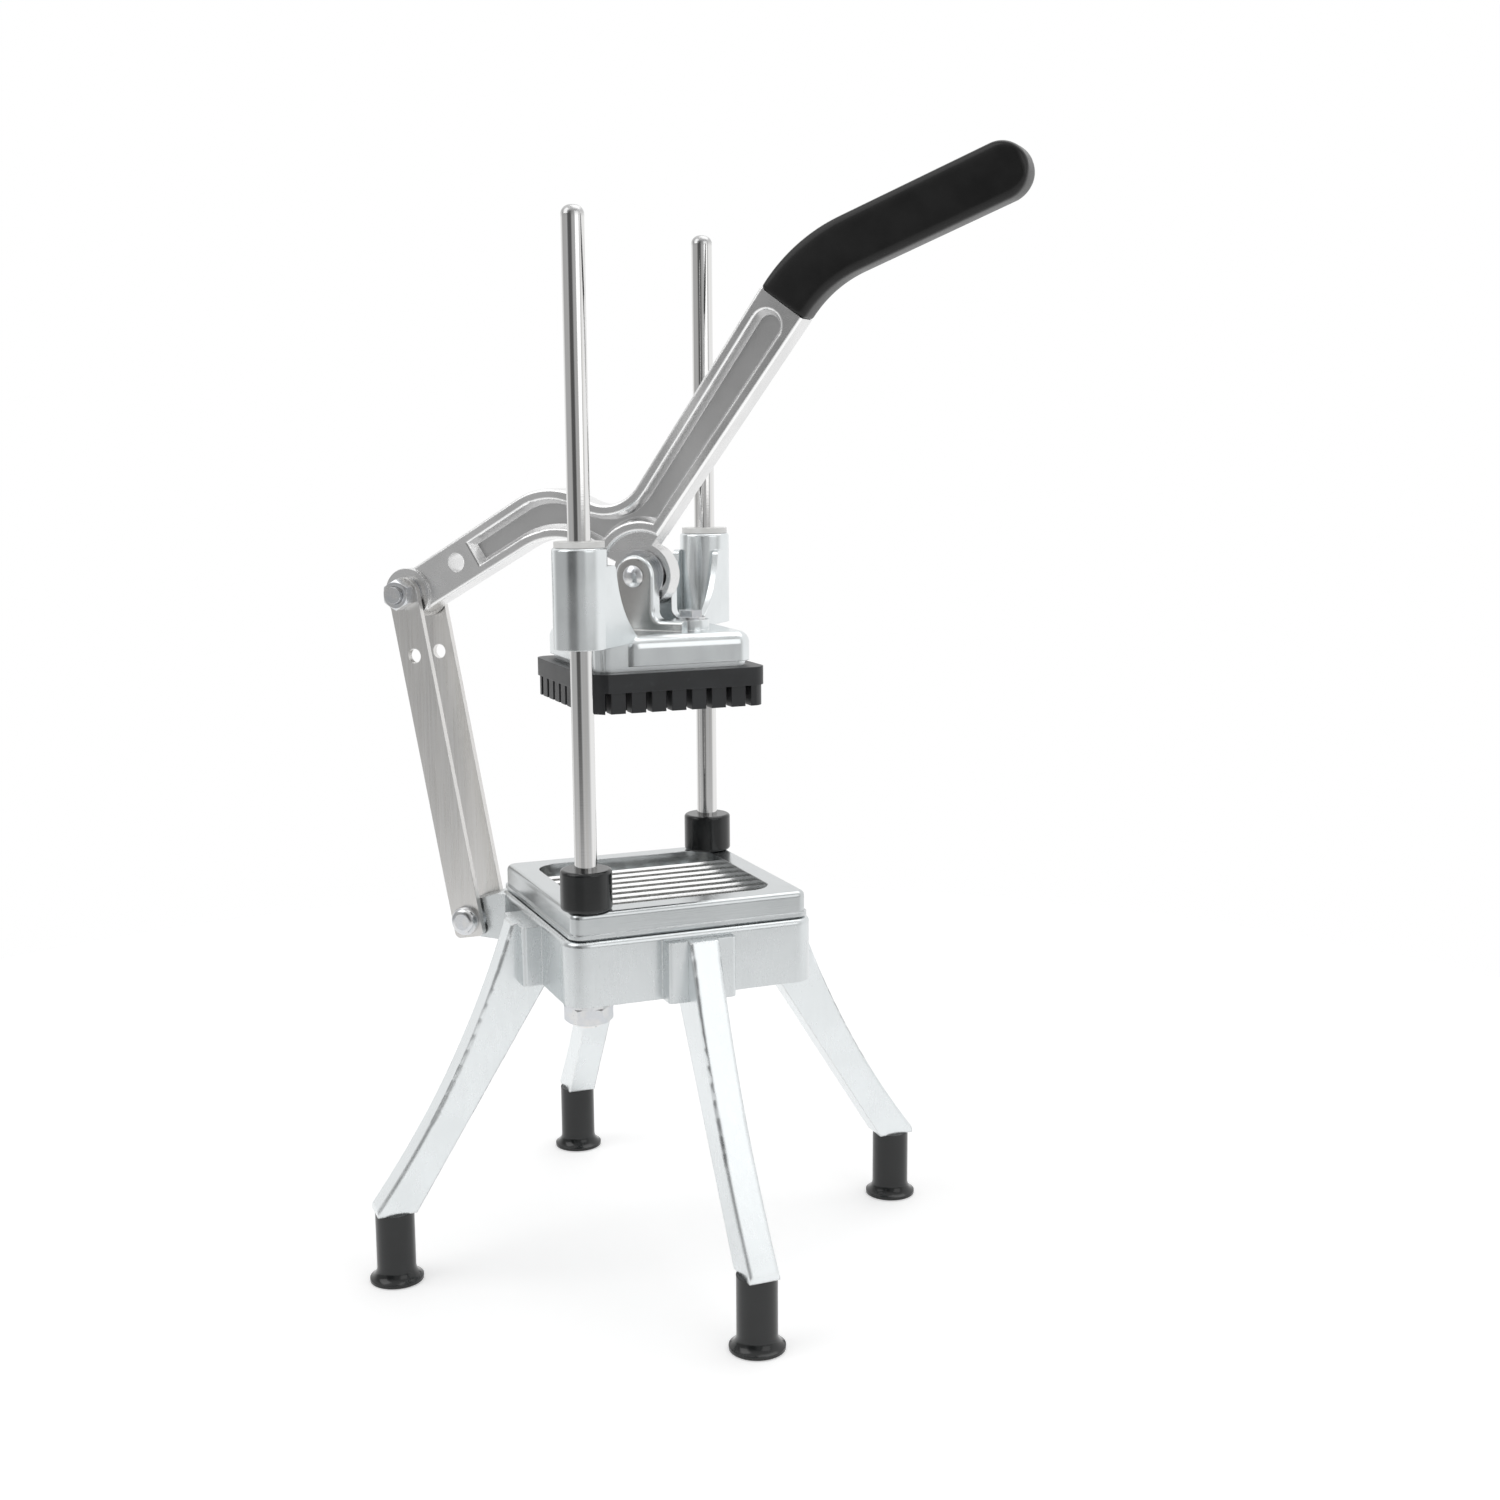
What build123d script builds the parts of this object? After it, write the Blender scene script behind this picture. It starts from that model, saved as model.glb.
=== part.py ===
from build123d import *
from math import atan2, degrees, sqrt
import os

os.makedirs("parts", exist_ok=True)

# A lever press that pushes a potato through a grid of blades.
# X runs from the link to the grip, Y along the line of the two guide rods, Z up from the floor.
# The table and the blades are square, turned 45 degrees, so their corners lie on X and Y.

# Driving dimensions, millimetres
cut = 9.525
cut_rows = 9
opening_room = 2.1375
opening_corner = 12.0
frame_wall = 12.15
frame_height = 12.3
base_margin = 1.85
base_top = 166.5
base_height = 29.5
rod_wall = 7.63
rod_dia = 10.0
rod_top = 480.0
stroke_down = 97.0
bumper_dia = 23.0
bumper_height = 18.2
foot_circle = 127.8
foot_height = 33.2
boss_dia = 24.0
boss_height = 43.5
pad_rise = 3.0
ear_height = 24.5
rear_arm = 124.5
rear_arm_drop = 11.5
lug_reach = 15.2
lug_drop = 15.0
pin_dia = 8.0
handle_thick = 14.0
hub_thick = 10.0
eye_thick = 17.2
grip_reach = 165.9
grip_rise = 169.5

# Clearances
running = 0.05
face_gap = 0.1
thrust_gap = 0.2
stroke_gap = 0.5
rod_hole_gap = 0.15
block_gap = 2.4
bumper_gap = 1.0

# Sides, levels and pivots worked out from the driving dimensions
corner_share = sqrt(2) - 1
opening_side = cut * cut_rows + 2 * opening_room
frame_side = opening_side + 2 * frame_wall
base_side = frame_side + 2 * base_margin
base_half = base_side / 2
base_corner = 10.0
base_reach = base_half * sqrt(2) - base_corner * corner_share
rod_offset = opening_side / sqrt(2) - opening_corner * corner_share + rod_wall
base_bottom = base_top - base_height
frame_top = base_top + frame_height
bumper_top = frame_top + bumper_height
boss_bottom = bumper_top + stroke_down + stroke_gap
boss_top = boss_bottom + boss_height
pad_top = boss_bottom + pad_rise
head_pivot = Vector(0, pad_top + ear_height)
link_pivot = head_pivot + Vector(-rear_arm, -rear_arm_drop)
base_pivot = Vector(-base_reach - lug_reach, base_top - lug_drop)

# The table's own axes, and the upright plane of the handle (local x = X, local y = Z)
table = Plane.XY.rotated((0, 0, 45))
upright = Plane.XZ
rod_places = {"near": -rod_offset, "far": rod_offset}
leg_angles = {"grip_near": 315, "grip_far": 45, "link_far": 135, "link_near": 225}


def leg_plane(angle):
    """Upright plane through the middle: local x points out along the leg, local y is up."""
    out = Vector(1, 0, 0).rotate(Axis.Z, angle)
    return Plane(origin=(0, 0, 0), x_dir=out, z_dir=out.cross(Vector(0, 0, 1)))


def leg_axis(angle, distance, height):
    """Plane that faces outwards along a leg, at a distance from the middle and a height."""
    out = Vector(1, 0, 0).rotate(Axis.Z, angle)
    return Plane(origin=out * distance + Vector(0, 0, height), x_dir=(-out.Y, out.X, 0), z_dir=out)


def across(place, y):
    """Plane square to Y at a place in the upright plane, facing away from the viewer."""
    return Plane(origin=(place.X, y, place.Y), x_dir=(1, 0, 0), z_dir=(0, 1, 0))


def flat_face(builder, y):
    """The flat side face of a part at a distance along Y."""
    return builder.faces().filter_by(Axis.Y).filter_by_position(Axis.Y, y - face_gap, y + face_gap)[0]


# Base casting: apron, table with its chute, rod bosses, leg pads and the lug of the link
base_wall = 6.0
table_thick = 6.0
edge_round = 2.5
chute_margin = 1.0
rod_boss_dia = 24.0
leg_pad_width = 32.0
leg_pad_stand = 9.0
leg_pad_corner = 2.0
leg_pad_step = 2.0
channel_depth = 3.0
leg_width = 14.0
lug_thick = eye_thick
lug_root = 12.0
lug_foot = 5.5
lug_step = 1.0
lug_end_radius = 8.5
leg_screw_dia = 6.0
leg_screw_rise = 12.0
inner_half = base_half - base_wall
pad_face = base_half + leg_pad_stand
channel_floor = pad_face - channel_depth
leg_screw_z = base_bottom + leg_screw_rise
chute_side = opening_side + 2 * chute_margin
lug_bottom = base_bottom + lug_foot
lug_top = base_top - lug_step

with BuildPart() as base_casting:
    with BuildSketch(table.offset(base_bottom)):
        RectangleRounded(base_side, base_side, base_corner)
    extrude(amount=base_height)
    fillet(base_casting.edges().group_by(Axis.Z)[-1], edge_round)
    with BuildSketch(table.offset(base_bottom)):
        RectangleRounded(2 * inner_half, 2 * inner_half, base_corner - base_wall)
    extrude(amount=base_height - table_thick, mode=Mode.SUBTRACT)
    with BuildSketch(Plane.XY.offset(base_bottom)):
        with Locations((0, -rod_offset), (0, rod_offset)):
            Circle(rod_boss_dia / 2)
    extrude(amount=base_height - edge_round)
    with BuildSketch(table.offset(base_bottom)):
        with PolarLocations((pad_face + inner_half) / 2, 4):
            RectangleRounded(pad_face - inner_half, leg_pad_width, leg_pad_corner)
    extrude(amount=base_height - leg_pad_step)
    with BuildSketch(upright):
        with Locations(base_pivot):
            Circle(lug_end_radius)
        with Locations((lug_root / 2 - base_reach, (lug_top + lug_bottom) / 2)):
            Rectangle(lug_root, lug_top - lug_bottom)
        make_hull()
    extrude(amount=lug_thick / 2, both=True)
    with BuildSketch(table.offset(base_bottom)):
        RectangleRounded(chute_side, chute_side, opening_corner)
    extrude(amount=base_height, mode=Mode.SUBTRACT)
    with BuildSketch(table.offset(base_bottom)):
        with PolarLocations((pad_face + channel_floor) / 2, 4):
            Rectangle(channel_depth, leg_width)
    extrude(amount=base_height, mode=Mode.SUBTRACT)
    with BuildSketch(Plane.XY.offset(base_bottom)):
        with Locations((0, -rod_offset), (0, rod_offset)):
            Circle(rod_dia / 2)
    extrude(amount=base_height, mode=Mode.SUBTRACT)
    for angle in leg_angles.values():
        with BuildSketch(leg_axis(angle, inner_half, leg_screw_z)):
            Circle(leg_screw_dia / 2)
        extrude(amount=channel_floor - inner_half, mode=Mode.SUBTRACT)
    with BuildSketch(across(base_pivot, -lug_thick / 2)):
        Circle(pin_dia / 2)
    extrude(amount=lug_thick, mode=Mode.SUBTRACT)

base_casting.part.label = "base_casting"
export_step(base_casting.part, "parts/base_casting.step")

# Legs: a tapering bar let into the pad's channel, with a shoulder under the apron and a spigot for the foot
leg_top = base_top - leg_pad_step
leg_top_depth = 5.5
leg_foot_width = 18.0
leg_bow = 6.0
leg_shoulder_inset = 0.5
leg_end_height = 3.0
spigot_dia = 11.0
spigot_length = 22.0
leg_screw_grip = 7.0
leg_edge_round = 1.5
leg_outer_top = (channel_floor + leg_top_depth, leg_top)
leg_outer_end = (foot_circle + leg_foot_width / 2, foot_height + leg_end_height)

for name, angle in leg_angles.items():
    with BuildPart() as leg:
        with BuildSketch(leg_plane(angle)):
            with BuildLine():
                Polyline(
                    leg_outer_end,
                    (foot_circle + leg_foot_width / 2, foot_height),
                    (foot_circle - leg_foot_width / 2, foot_height),
                    (inner_half + leg_shoulder_inset, base_bottom),
                    (channel_floor, base_bottom),
                    (channel_floor, leg_top),
                    leg_outer_top,
                )
                SagittaArc(leg_outer_top, leg_outer_end, -leg_bow)
            make_face()
        extrude(amount=leg_width / 2, both=True)
        outer_face = leg.faces().filter_by(GeomType.CYLINDER).sort_by(SortBy.AREA)[-1]
        fillet(outer_face.edges().filter_by(GeomType.CIRCLE), leg_edge_round)
        foot_place = Vector(foot_circle, 0).rotate(Axis.Z, angle)
        with BuildSketch(Plane.XY.offset(foot_height)):
            with Locations(foot_place):
                Circle(spigot_dia / 2)
        extrude(amount=-spigot_length)
        with BuildSketch(leg_axis(angle, channel_floor, leg_screw_z)):
            Circle(leg_screw_dia / 2)
        extrude(amount=leg_screw_grip, mode=Mode.SUBTRACT)
    leg.part.label = f"leg_{name}"
    export_step(leg.part, f"parts/leg_{name}.step")

# Leg screws, put in from inside the apron
leg_screw_head = 10.0
leg_screw_head_height = 4.0

with BuildPart() as leg_screws:
    for angle in leg_angles.values():
        with BuildSketch(leg_axis(angle, inner_half, leg_screw_z)):
            Circle(leg_screw_dia / 2)
        extrude(amount=channel_floor + leg_screw_grip - inner_half)
        with BuildSketch(leg_axis(angle, inner_half, leg_screw_z)):
            Circle(leg_screw_head / 2)
        extrude(amount=-leg_screw_head_height)

leg_screws.part.label = "leg_screws"
export_step(leg_screws.part, "parts/leg_screws.step")

# Rubber feet: a tube with a flared rim, closed at the floor
foot_dia = 18.0
foot_rim_dia = 24.7
foot_rim_height = 1.4
foot_flare_top = 6.5
foot_socket_floor = foot_height - spigot_length

for name, angle in leg_angles.items():
    foot_place = Vector(foot_circle, 0).rotate(Axis.Z, angle)
    with BuildPart() as foot:
        with BuildSketch(Plane(origin=foot_place, x_dir=(1, 0, 0), z_dir=(0, -1, 0))):
            with BuildLine():
                Polyline(
                    (foot_dia / 2, foot_flare_top),
                    (foot_dia / 2, foot_height),
                    (spigot_dia / 2, foot_height),
                    (spigot_dia / 2, foot_socket_floor),
                    (0, foot_socket_floor),
                    (0, 0),
                    (foot_rim_dia / 2, 0),
                    (foot_rim_dia / 2, foot_rim_height),
                )
                TangentArc(
                    (foot_dia / 2, foot_flare_top),
                    (foot_rim_dia / 2, foot_rim_height),
                    tangent=(0, -1),
                )
            make_face()
        revolve(axis=Axis(foot_place, (0, 0, 1)))
    foot.part.label = f"foot_{name}"
    export_step(foot.part, f"parts/foot_{name}.step")

# Blade frame on a set-in foot, with slots for the two rows of blades
frame_lip = 1.0
frame_lip_height = 1.8
frame_foot_height = 0.8
frame_foot_inset = 2.5
frame_corner = 5.0
blade_thick = 0.8
blade_seat = 4.0
blade_depth = 3.5
blade_height = 4.2
blade_count = cut_rows - 1
blade_length = opening_side + 2 * blade_seat
frame_body = frame_side - 2 * frame_lip
frame_foot_side = frame_body - 2 * frame_foot_inset
upper_top = frame_top - blade_depth
lower_top = upper_top - blade_height

with BuildPart() as blade_frame:
    with BuildSketch(table.offset(base_top)):
        RectangleRounded(frame_body, frame_body, frame_corner)
    extrude(amount=frame_height)
    fillet(blade_frame.edges().group_by(Axis.Z)[-1], edge_round)
    with BuildSketch(table.offset(base_top + frame_foot_height)):
        RectangleRounded(frame_side, frame_side, frame_corner + frame_lip)
    extrude(amount=frame_lip_height)
    with BuildSketch(table.offset(base_top)):
        Rectangle(frame_side, frame_side)
        RectangleRounded(frame_foot_side, frame_foot_side, frame_corner, mode=Mode.SUBTRACT)
    extrude(amount=frame_foot_height, mode=Mode.SUBTRACT)
    with BuildSketch(table.offset(base_top)):
        RectangleRounded(opening_side, opening_side, opening_corner)
    extrude(amount=frame_height, mode=Mode.SUBTRACT)
    with BuildSketch(Plane.XY.offset(base_top)):
        with Locations((0, -rod_offset), (0, rod_offset)):
            Circle(rod_dia / 2 + rod_hole_gap)
    extrude(amount=frame_height, mode=Mode.SUBTRACT)
    with BuildSketch(table.offset(upper_top)):
        with GridLocations(0, cut, 1, blade_count):
            Rectangle(blade_length, blade_thick)
    extrude(amount=-blade_height, mode=Mode.SUBTRACT)
    with BuildSketch(table.offset(lower_top)):
        with GridLocations(cut, 0, blade_count, 1):
            Rectangle(blade_thick, blade_length)
    extrude(amount=-blade_height, mode=Mode.SUBTRACT)

blade_frame.part.label = "blade_frame"
export_step(blade_frame.part, "parts/blade_frame.step")

# Blades: two rows of thin strips, one across the other, the upper row sharpened along its top
edge_bevel = 1.2
edge_taper = 14.0

with BuildPart() as blades_upper:
    with BuildSketch(table.offset(upper_top - edge_bevel)):
        with GridLocations(0, cut, 1, blade_count):
            Rectangle(blade_length, blade_thick)
    extrude(amount=-blade_height + edge_bevel)
    with BuildSketch(table.offset(upper_top - edge_bevel)):
        with GridLocations(0, cut, 1, blade_count):
            Rectangle(blade_length, blade_thick)
    extrude(amount=edge_bevel, taper=edge_taper)

blades_upper.part.label = "blades_upper"
export_step(blades_upper.part, "parts/blades_upper.step")

with BuildPart() as blades_lower:
    with BuildSketch(table.offset(lower_top)):
        with GridLocations(cut, 0, blade_count, 1):
            Rectangle(blade_thick, blade_length)
    extrude(amount=-blade_height)

blades_lower.part.label = "blades_lower"
export_step(blades_lower.part, "parts/blades_lower.step")

# Guide rods with domed tops, and the bumpers round them
rod_dome = 4.0
rod_tail = 2.0
nut_height = 8.0
nut_flats = 19.0
washer_dia = 22.5
washer_thick = 1.5
bumper_round = 1.5
rod_bottom = base_bottom - washer_thick - nut_height - rod_tail

for name, y in rod_places.items():
    with BuildPart() as guide_rod:
        with BuildSketch(Plane.XY.offset(rod_bottom)):
            with Locations((0, y)):
                Circle(rod_dia / 2)
        extrude(amount=rod_top - rod_bottom)
        fillet(guide_rod.edges().group_by(Axis.Z)[-1], rod_dome)
    guide_rod.part.label = f"guide_rod_{name}"
    export_step(guide_rod.part, f"parts/guide_rod_{name}.step")

for name, y in rod_places.items():
    with BuildPart() as bumper:
        with BuildSketch(Plane.XY.offset(frame_top)):
            with Locations((0, y)):
                Circle(bumper_dia / 2)
                Circle(rod_dia / 2, mode=Mode.SUBTRACT)
        extrude(amount=bumper_height)
        fillet(bumper.edges().filter_by(GeomType.CIRCLE).sort_by(SortBy.RADIUS)[-2:], bumper_round)
    bumper.part.label = f"bumper_{name}"
    export_step(bumper.part, f"parts/bumper_{name}.step")

# Washers and nuts that hold the rods under the base
with BuildPart() as rod_washers:
    with BuildSketch(Plane.XY.offset(base_bottom)):
        with Locations((0, -rod_offset), (0, rod_offset)):
            Circle(washer_dia / 2)
            Circle(rod_dia / 2, mode=Mode.SUBTRACT)
    extrude(amount=-washer_thick)

rod_washers.part.label = "rod_washers"
export_step(rod_washers.part, "parts/rod_washers.step")

with BuildPart() as rod_nuts:
    with BuildSketch(Plane.XY.offset(base_bottom - washer_thick)):
        with Locations((0, -rod_offset), (0, rod_offset)):
            RegularPolygon(nut_flats / 2, 6, major_radius=False)
            Circle(rod_dia / 2, mode=Mode.SUBTRACT)
    extrude(amount=-nut_height)

rod_nuts.part.label = "rod_nuts"
export_step(rod_nuts.part, "parts/rod_nuts.step")

# Link: two flat bars from the base's lug to the handle's rear eye
bar_width = 16.0
bar_thick = 3.0
bar_end = 8.5
bar_corner = 3.0
spacer_thick = 1.0
spare_hole_dia = 7.0
spare_hole_back = 30.2
eye_half = eye_thick / 2
bar_inner = eye_half + spacer_thick + face_gap
bar_outer = bar_inner + bar_thick
link_run = link_pivot - base_pivot

for name, start in {"near": -bar_outer, "far": bar_inner}.items():
    bar_start = (base_pivot.X, start, base_pivot.Y)
    with BuildPart() as link_bar:
        bar_plane = Plane(origin=bar_start, x_dir=(link_run.X, 0, link_run.Y), z_dir=(0, 1, 0))
        with BuildSketch(bar_plane) as bar_sketch:
            with Locations(((link_run.length - bar_end) / 2, 0)):
                Rectangle(link_run.length + bar_end, bar_width)
            fillet(bar_sketch.vertices().group_by(Axis.X)[0], bar_corner)
            with Locations((link_run.length, 0)):
                Circle(bar_width / 2)
                Circle(pin_dia / 2, mode=Mode.SUBTRACT)
            with Locations((link_run.length - spare_hole_back, 0)):
                Circle(spare_hole_dia / 2, mode=Mode.SUBTRACT)
            Circle(pin_dia / 2 + running, mode=Mode.SUBTRACT)
        extrude(amount=bar_thick)
    link_bar.part.label = f"link_bar_{name}"
    export_step(link_bar.part, f"parts/link_bar_{name}.step")

# Lower pivot of the link: a bolt held in the lug, its nut, and spacers between the lug and the bars
bolt_head_dia = 14.0
bolt_head_height = 4.5
bolt_head_round = 3.0
pivot_nut_flats = 13.0
pivot_nut_height = 6.5
bolt_tail = 2.0
spacer_dia = 16.0
bolt_seat = bar_outer + face_gap

with BuildPart() as base_pivot_bolt:
    with BuildSketch(across(base_pivot, -bolt_seat)):
        Circle(pin_dia / 2)
    extrude(amount=2 * bolt_seat + pivot_nut_height + bolt_tail)
    with BuildSketch(across(base_pivot, -bolt_seat)):
        Circle(bolt_head_dia / 2)
    extrude(amount=-bolt_head_height)
    fillet(base_pivot_bolt.edges().group_by(Axis.Y)[0], bolt_head_round)

base_pivot_bolt.part.label = "base_pivot_bolt"
export_step(base_pivot_bolt.part, "parts/base_pivot_bolt.step")

with BuildPart() as base_pivot_nut:
    with BuildSketch(across(base_pivot, bolt_seat)):
        RegularPolygon(pivot_nut_flats / 2, 6, major_radius=False)
        Circle(pin_dia / 2, mode=Mode.SUBTRACT)
    extrude(amount=pivot_nut_height)

base_pivot_nut.part.label = "base_pivot_nut"
export_step(base_pivot_nut.part, "parts/base_pivot_nut.step")

with BuildPart() as base_pivot_spacers:
    for start in (-eye_half - spacer_thick, eye_half):
        with BuildSketch(across(base_pivot, start)):
            Circle(spacer_dia / 2)
            Circle(pin_dia / 2, mode=Mode.SUBTRACT)
        extrude(amount=spacer_thick)

base_pivot_spacers.part.label = "base_pivot_spacers"
export_step(base_pivot_spacers.part, "parts/base_pivot_spacers.step")

# Upper pivot of the link: a bolt held in the bars, its nut, and spacers beside the handle's eye
with BuildPart() as link_pivot_bolt:
    with BuildSketch(across(link_pivot, -bar_outer - pivot_nut_height - bolt_tail)):
        Circle(pin_dia / 2)
    extrude(amount=2 * bar_outer + pivot_nut_height + bolt_tail)
    with BuildSketch(across(link_pivot, bar_outer)):
        Circle(bolt_head_dia / 2)
    extrude(amount=bolt_head_height)
    fillet(link_pivot_bolt.edges().group_by(Axis.Y)[-1], bolt_head_round)

link_pivot_bolt.part.label = "link_pivot_bolt"
export_step(link_pivot_bolt.part, "parts/link_pivot_bolt.step")

with BuildPart() as link_pivot_nut:
    with BuildSketch(across(link_pivot, -bar_outer - pivot_nut_height)):
        RegularPolygon(pivot_nut_flats / 2, 6, major_radius=False)
        Circle(pin_dia / 2, mode=Mode.SUBTRACT)
    extrude(amount=pivot_nut_height)

link_pivot_nut.part.label = "link_pivot_nut"
export_step(link_pivot_nut.part, "parts/link_pivot_nut.step")

with BuildPart() as link_pivot_spacers:
    for start in (-bar_inner, bar_inner - spacer_thick):
        with BuildSketch(across(link_pivot, start)):
            Circle(spacer_dia / 2)
            Circle(pin_dia / 2, mode=Mode.SUBTRACT)
        extrude(amount=spacer_thick)

link_pivot_spacers.part.label = "link_pivot_spacers"
export_step(link_pivot_spacers.part, "parts/link_pivot_spacers.step")

# Handle arm: a bent I-beam from the rear eye over the hub to the grip
# Its outline is given from the hub, and at the rear end from the eye, as shares of the arm's own lengths
pin_travel = 8.3
pin_float = 2.6
hub_slot_drop = 0.4
hub_wall = 2.2
thrust_dia = 23.0
eye_radius = 12.2
rim = 4.6
rim_round = 1.5
pocket_edge = 1.0
pocket_round = 7.3
pocket_slope = 2.2
web_thick = 4.0
handle_hole_dia = 9.0
hump_radius = 35.0
valley_radius = 21.0
crown_radius = 34.0
grip_height = 24.6
tang_height = 19.0
tang_thick = 11.0
tang_setback = 20.0
hub_slot_length = pin_dia + 2 * pin_travel
hub_slot_height = pin_dia + 2 * pin_float
hub_radius = hub_slot_length / 2 + hub_wall
hub_face_radius = thrust_dia / 2 + pin_travel
arch_radius = hub_face_radius + rim
pocket_depth = (handle_thick - web_thick) / 2
pocket_draft = degrees(atan2(pocket_slope, pocket_depth))
rear_top_start = link_pivot + Vector(-0.508, 0.615) * eye_radius
rear_low_start = link_pivot + Vector(0.369, -0.877) * eye_radius
pocket_start = link_pivot + Vector(0.4341, -0.0307) * rear_arm
pocket_end = link_pivot + Vector(0.2036, 0.3308) * rear_arm
handle_hole = link_pivot + Vector(0.2169, 0.1245) * rear_arm
hump = head_pivot + Vector(-0.388, 0.35) * rear_arm
valley = head_pivot + Vector(-0.0916, 0.213) * rear_arm
crown = head_pivot + Vector(-0.359, 0.1605) * rear_arm
rear_low_end = head_pivot + Vector(-0.838, 0.37) * hub_radius
front_low_start = head_pivot + Vector(0.276, 0.819) * hub_radius
grip_start = head_pivot + Vector(0.4208 * grip_reach, 0.7054 * grip_rise)
grip_corner = head_pivot + Vector(0.4943 * grip_reach, 0.8053 * grip_rise)
grip_tip = head_pivot + Vector(grip_reach, grip_rise)
grip_bend = (grip_corner - grip_start).length * 3.163
grip_across = (grip_corner - grip_start).normalized().rotate(Axis.Z, 90) * grip_height / 2
tang_tip = grip_tip - (grip_tip - grip_corner).normalized() * tang_setback
front_top_end = grip_start + grip_across
front_low_end = grip_start - grip_across * 0.97

with BuildPart() as handle_arm:
    with BuildSketch(upright) as arm_outline:
        with BuildLine():
            Polyline(rear_top_start, hump, valley, front_top_end)
            Polyline(front_top_end, front_low_end, front_low_start, rear_low_end)
            Polyline(rear_low_end, crown, rear_low_start, rear_top_start)
        make_face()
        fillet(arm_outline.vertices().sort_by_distance(hump)[0], hump_radius)
        fillet(arm_outline.vertices().sort_by_distance(valley)[0], valley_radius)
        fillet(arm_outline.vertices().sort_by_distance(crown)[0], crown_radius)
    extrude(amount=handle_thick / 2, both=True)
    for side in (-1, 1):
        with BuildSketch(upright.offset(side * hub_thick / 2)):
            with Locations(head_pivot):
                Circle(hub_face_radius)
        extrude(amount=side * (handle_thick - hub_thick) / 2, mode=Mode.SUBTRACT)
    with BuildSketch(upright):
        with Locations(head_pivot):
            Circle(hub_radius)
    extrude(amount=hub_thick / 2, both=True)
    with BuildSketch(upright):
        with Locations(link_pivot):
            Circle(eye_radius)
    extrude(amount=eye_half, both=True)
    for side in (-1, 1):
        with BuildSketch(upright.offset(side * web_thick / 2)) as pocket:
            offset(arm_outline.sketch_local.faces(), amount=-rim - pocket_slope)
            with Locations(head_pivot):
                Circle(arch_radius + pocket_slope, mode=Mode.SUBTRACT)
            with BuildLine():
                Polyline(pocket_start, pocket_end, rear_top_start, rear_low_start, close=True)
            make_face(mode=Mode.SUBTRACT)
            fillet(pocket.vertices().sort_by_distance(grip_start)[:2], pocket_round - pocket_slope)
        extrude(amount=side * pocket_depth, taper=-pocket_draft, mode=Mode.SUBTRACT)
    with BuildSketch(upright):
        with BuildLine():
            FilletPolyline(grip_start, grip_corner, tang_tip, radius=grip_bend)
        trace(line_width=tang_height)
    extrude(amount=tang_thick / 2, both=True)
    with BuildSketch(upright):
        with Locations(link_pivot):
            Circle(pin_dia / 2 + running)
        with Locations(handle_hole):
            Circle(handle_hole_dia / 2)
        with Locations(head_pivot - Vector(0, hub_slot_drop)):
            SlotOverall(hub_slot_length, hub_slot_height)
    extrude(amount=handle_thick, both=True, mode=Mode.SUBTRACT)
    for y in (-handle_thick / 2, handle_thick / 2):
        side_face = flat_face(handle_arm, y)
        fillet(side_face.inner_wires().sort_by(SortBy.LENGTH)[-1].edges(), pocket_edge)
    for y in (-handle_thick / 2, handle_thick / 2):
        side_face = flat_face(handle_arm, y)
        rim_edges = side_face.outer_wire().edges().filter_by_position(Axis.X, handle_hole.X, front_low_end.X)
        fillet(rim_edges.sort_by_distance((grip_start.X, y, grip_start.Y))[1:], rim_round)

handle_arm.part.label = "handle_arm"
export_step(handle_arm.part, "parts/handle_arm.step")

# Soft grip over the arm's tang
grip_thick = 15.0
grip_edge = 3.5

with BuildPart() as handle_grip:
    with BuildSketch(upright):
        with BuildLine():
            FilletPolyline(grip_start, grip_corner, grip_tip, radius=grip_bend)
        trace(line_width=grip_height)
        with Locations(grip_tip):
            Circle(grip_height / 2)
    extrude(amount=grip_thick / 2, both=True)
    side_edges = handle_grip.faces().filter_by(Axis.Y).edges()
    fillet(side_edges.sort_by_distance((grip_start.X, 0, grip_start.Y))[2:], grip_edge)
    with BuildSketch(upright):
        with BuildLine():
            FilletPolyline(grip_start, grip_corner, tang_tip, radius=grip_bend)
        trace(line_width=tang_height)
    extrude(amount=tang_thick / 2, both=True, mode=Mode.SUBTRACT)

handle_grip.part.label = "handle_grip"
export_step(handle_grip.part, "parts/handle_grip.step")

# Head casting: plate and pad, guide bosses held by pairs of ribs, and two ears for the handle's pin
plate_inset = 6.6
plate_height = 12.9
plate_corner = 6.0
pad_margin = 2.0
pad_corner = 8.0
pad_depth = 13.4
pad_trim = 12.74
pad_round = 5.5
rib_thick = 3.0
rib_step = 8.0
rib_run = 20.0
rib_lean = 1.0
rib_sweep = 4.5
rib_corner = 2.5
ear_thick = 7.5
ear_radius = 9.5
ear_flare = 24.0
ear_flare_radius = 4.0
ear_round = 2.0
boss_round = 1.5
bush_dia = 15.0
block_screw_x = 22.0
block_screw_dia = 6.0
screw_boss_dia = 17.0
screw_boss_height = 4.5
thrust_thick = 1.4
band_side = opening_side - 2 * block_gap
plate_side = band_side - 2 * plate_inset
pad_side = plate_side + 2 * pad_margin
pad_reach = pad_side / sqrt(2) - pad_trim
pad_bottom = pad_top - pad_depth
block_top = boss_bottom - plate_height
screw_boss_top = pad_top + screw_boss_height
ear_inner = hub_thick / 2 + thrust_gap + thrust_thick
ear_outer = ear_inner + ear_thick
rib_top = boss_top - rib_step
rib_head = rod_offset - boss_dia / 2 + rib_lean
rib_foot = rib_head - rib_run

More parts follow.
